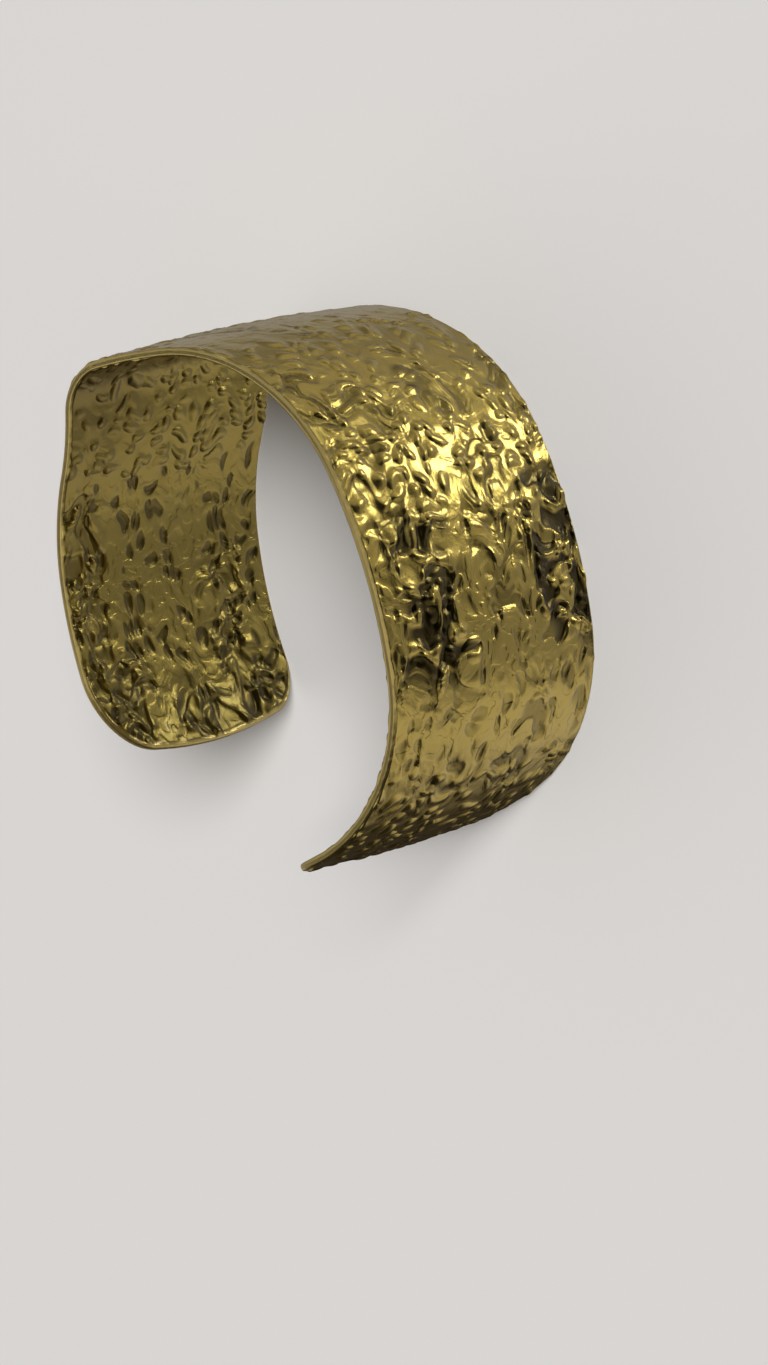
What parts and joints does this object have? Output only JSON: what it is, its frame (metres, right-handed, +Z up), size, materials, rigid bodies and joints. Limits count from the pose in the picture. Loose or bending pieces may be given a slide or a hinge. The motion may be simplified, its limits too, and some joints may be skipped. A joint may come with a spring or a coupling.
{
  "type": "cuff bracelet",
  "caption": "Wide open cuff bracelet bent from one strip of hammered sheet brass, with rounded ends and a gap to slip over the wrist.",
  "frame": {"origin": "middle of the bounding box on the surface that the cuff lies on, under its lower rim", "axes": "+Z up, across the band from the lower rim to the upper rim; -Y out of the opening between the two ends; +X towards the right end"},
  "size_m": [0.058, 0.0554, 0.038],
  "materials": {
    "hammered_brass": "polished, hammered all over, with satin rims"
  },
  "bodies": {
    "root": {"cuff": "hammered_brass"}
  },
  "joints": []
}
